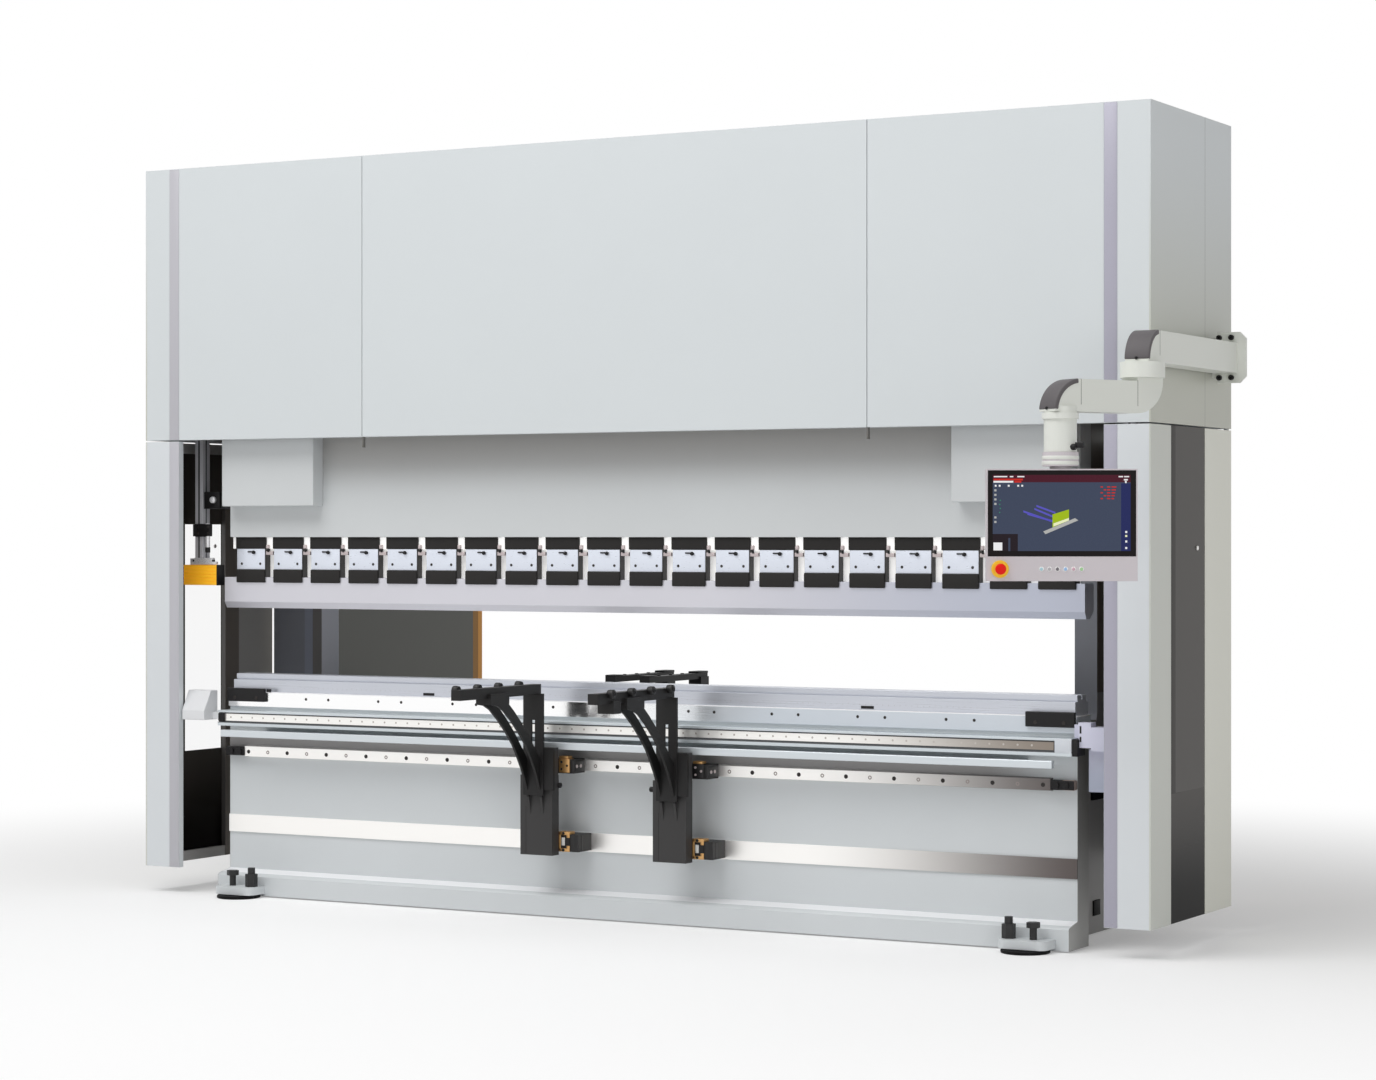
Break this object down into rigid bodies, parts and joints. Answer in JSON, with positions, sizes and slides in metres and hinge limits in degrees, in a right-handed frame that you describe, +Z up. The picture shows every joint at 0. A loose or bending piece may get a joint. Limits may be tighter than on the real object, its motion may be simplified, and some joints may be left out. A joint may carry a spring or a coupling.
{
  "type": "hydraulic press brake",
  "caption": "CNC hydraulic press brake with tall hood, ram with clamp row over a long table, glazed side guards, sheet support arms and a pendant control panel.",
  "frame": {"origin": "centre of the bounding box on the floor", "axes": "+X along the table to the operator's right, +Y from the operator into the machine, +Z up"},
  "size_m": [4.823, 2.6034, 3.173],
  "materials": {
    "light_paint": "satin powder coat",
    "frame_paint": "satin paint",
    "steel": "ground",
    "black_metal": "blackened",
    "charcoal_paint": "fine texture paint",
    "amber_paint": "gloss paint",
    "window": "clear smoked sheet",
    "pendant_paint": "satin paint",
    "panel_shell": "satin paint",
    "screen": "gloss"
  },
  "bodies": {
    "frame": {"crowning_bar": "steel", "crowning_lock_left": "black_metal", "crowning_lock_right": "black_metal", "die_rail": "steel", "end_housing_left": "light_paint", "end_housing_right": "light_paint", "foot_front_left": "light_paint", "foot_front_right": "light_paint", "foot_rear_left": "light_paint", "foot_rear_right": "light_paint", "front_bar": "light_paint", "gauge_rail_left": "steel", "gauge_rail_right": "steel", "hood_back_left": "light_paint", "hood_back_middle": "light_paint", "hood_back_right": "light_paint", "hood_end_left": "light_paint", "hood_end_right": "light_paint", "hood_panel_left": "light_paint", "hood_panel_middle": "light_paint", "hood_panel_right": "light_paint", "hood_top": "light_paint", "light_post_left": "amber_paint", "light_post_right": "amber_paint", "lower_beam": "light_paint", "lower_guide": "steel", "pendant_bracket": "pendant_paint", "pendant_upper_tube": "pendant_paint", "rail_stop_left": "black_metal", "rail_stop_right": "black_metal", "roller_track": "steel", "side_cabinet_left": "frame_paint", "side_cabinet_right": "frame_paint", "side_frame_left": "frame_paint", "side_frame_right": "frame_paint", "upper_guide": "steel"},
    "ram": {"ram_beam": "light_paint", "tool_bar": "steel", "cylinder_cover_left": "light_paint", "cylinder_cover_right": "light_paint", "light_head_left": "amber_paint", "light_head_right": "amber_paint", "light_arm_left": "steel", "light_arm_right": "steel"},
    "guard_left": {"side_guard_left": "light_paint", "guard_window_left": "window"},
    "guard_right": {"side_guard_right": "light_paint", "guard_window_right": "window"},
    "arm_left": {"arm_column_left": "charcoal_paint", "arm_runner_left": "black_metal"},
    "arm_right": {"arm_column_right": "charcoal_paint", "arm_runner_right": "black_metal"},
    "pendant_arm": {"pendant_lower_arm": "pendant_paint"},
    "panel": {"control_panel": "panel_shell", "panel_screen": "screen"},
    "gauge_carriage": {"gauge_carriage": "frame_paint"},
    "gauge_lift": {"gauge_beam": "steel"},
    "finger_left": {"gauge_finger_left": "black_metal"},
    "finger_right": {"gauge_finger_right": "black_metal"}
  },
  "joints": [
    {"name": "ram_slide", "type": "slide", "parent": "frame", "child": "ram", "axis": [0, 0, -1], "range_m": [0, 0.265]},
    {"name": "guard_left_hinge", "type": "hinge", "parent": "frame", "child": "guard_left", "pos_m": [-2.3965, 0.2994, 0.114], "axis": [0, 0, -1], "range_deg": [0, 90]},
    {"name": "guard_right_hinge", "type": "hinge", "parent": "frame", "child": "guard_right", "pos_m": [2.2575, 0.2994, 0.114], "axis": [0, 0, 1], "range_deg": [0, 90]},
    {"name": "arm_left_slide", "type": "slide", "parent": "frame", "child": "arm_left", "axis": [1, 0, 0], "range_m": [-1.45, 0.15]},
    {"name": "arm_right_slide", "type": "slide", "parent": "frame", "child": "arm_right", "axis": [1, 0, 0], "range_m": [-0.15, 1.38]},
    {"name": "pendant_swing", "type": "hinge", "parent": "frame", "child": "pendant_arm", "pos_m": [2.3305, -0.8056, 2.134], "axis": [0, 0, 1], "range_deg": [-30, 60]},
    {"name": "panel_turn", "type": "hinge", "parent": "pendant_arm", "child": "panel", "pos_m": [2.14563, -1.12841, 1.862], "axis": [0, 0, 1], "range_deg": [-60, 60]},
    {"name": "gauge_depth", "type": "slide", "parent": "frame", "child": "gauge_carriage", "axis": [0, 1, 0], "range_m": [-0.06, 0.59]},
    {"name": "gauge_height", "type": "slide", "parent": "gauge_carriage", "child": "gauge_lift", "axis": [0, 0, 1], "range_m": [-0.05, 0.2]},
    {"name": "finger_left_slide", "type": "slide", "parent": "gauge_lift", "child": "finger_left", "axis": [1, 0, 0], "range_m": [-1.35, 0.08]},
    {"name": "finger_right_slide", "type": "slide", "parent": "gauge_lift", "child": "finger_right", "axis": [1, 0, 0], "range_m": [-0.08, 1.5]}
  ]
}
